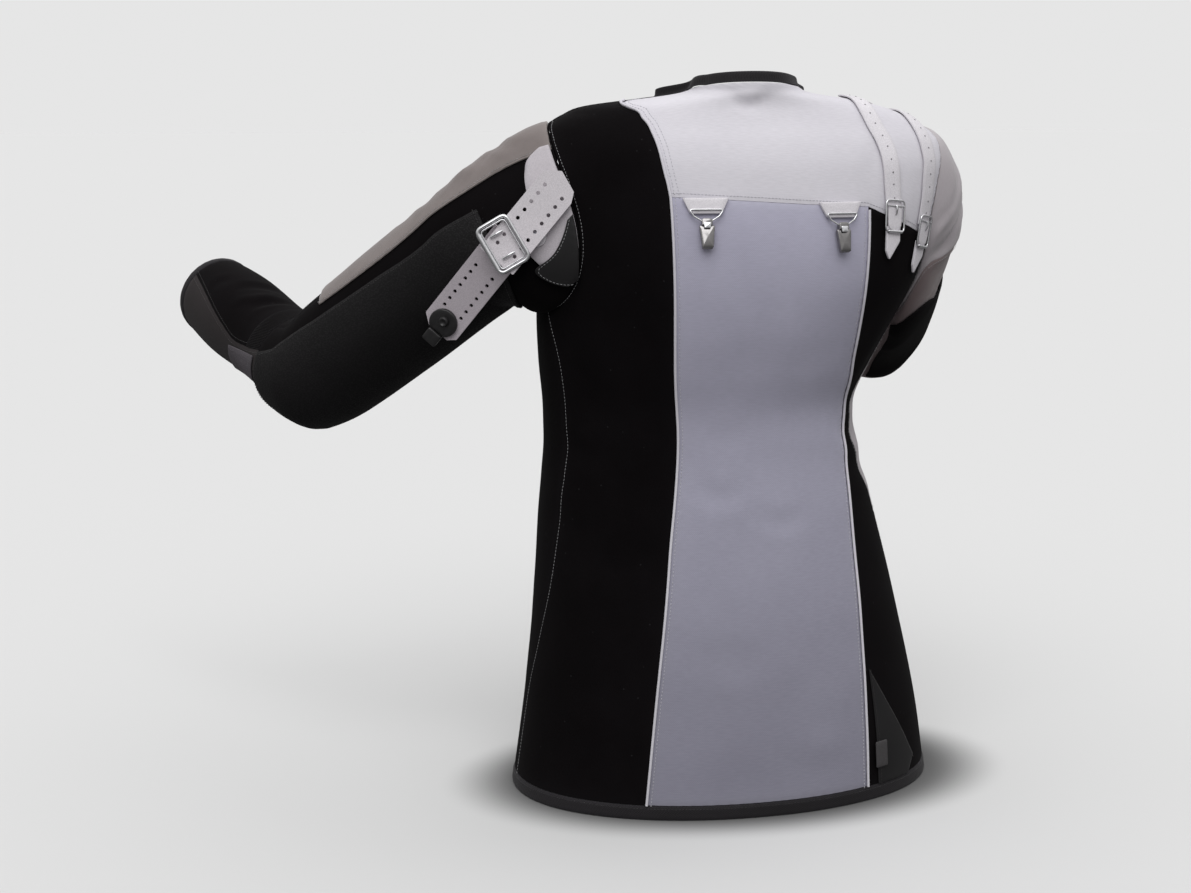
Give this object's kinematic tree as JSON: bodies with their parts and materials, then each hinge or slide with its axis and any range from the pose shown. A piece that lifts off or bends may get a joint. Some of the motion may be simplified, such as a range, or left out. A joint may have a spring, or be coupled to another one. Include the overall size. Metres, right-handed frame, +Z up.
{
  "type": "shooting jacket",
  "caption": "Stiff shooting jacket filled out in a shooter's pose: bent hollow sleeves, panelled back, under-yoke clips and a buckled, perforated arm strap.",
  "frame": {"origin": "centre of the neck opening, at the height of the collar's foot, where the wearer holds the jacket up", "axes": "+X towards the wearer's left arm, -Y the front, +Y the back, +Z up"},
  "size_m": [0.8043, 0.5219, 0.7164],
  "materials": {
    "canvas": "matt",
    "black_canvas": "matt",
    "white_canvas": "matt",
    "white_leather": "satin",
    "silver_canvas": "satin",
    "suede": "matt",
    "grip_rubber": "matt",
    "charcoal_cloth": "matt",
    "chrome": "polished",
    "black_plastic": "gloss"
  },
  "bodies": {
    "root": {"back_centre": "canvas", "left_side_back": "black_canvas", "right_side_back": "black_canvas", "left_front": "black_canvas", "right_front_lower": "black_canvas", "collar": "black_canvas", "hem_band": "black_canvas", "front_band": "black_canvas", "left_sleeve_upper": "black_canvas", "left_sleeve_under": "black_canvas", "left_forearm_inner": "black_canvas", "left_elbow_inset": "black_canvas", "left_cuff": "black_canvas", "right_cuff": "black_canvas", "right_elbow_pad": "black_canvas", "armhole_flap": "black_canvas", "pocket_panel": "black_canvas", "yoke": "white_canvas", "piping_left": "white_canvas", "piping_right": "white_canvas", "clip_tab_left": "white_leather", "clip_tab_right": "white_leather", "shoulder_strap_1": "white_leather", "shoulder_strap_2": "white_leather", "shoulder_tail_1": "white_leather", "shoulder_tail_2": "white_leather", "sling_anchor": "white_leather", "rivet_tab": "white_leather", "lower_sling_strap": "white_leather", "upper_sling_strap": "white_leather", "right_front_upper": "silver_canvas", "right_sleeve_cap": "silver_canvas", "right_forearm": "silver_canvas", "left_sleeve_strip": "suede", "right_elbow_panel": "suede", "side_tab": "suede", "left_arm_pad": "grip_rubber", "left_grip_patch": "grip_rubber", "left_forearm_outer": "charcoal_cloth", "clip_loop_left": "chrome", "clip_loop_right": "chrome", "clip_jaw_left": "chrome", "clip_jaw_right": "chrome", "shoulder_buckle_1": "chrome", "shoulder_buckle_2": "chrome", "rivet": "chrome", "sling_buckle": "chrome", "sling_prong_1": "chrome", "sling_prong_2": "chrome", "button_1": "black_plastic", "button_2": "black_plastic", "button_3": "black_plastic", "button_4": "black_plastic", "button_5": "black_plastic", "hook_base": "black_plastic", "hook_tongue": "black_plastic", "hook_knob": "black_plastic"}
  },
  "joints": []
}
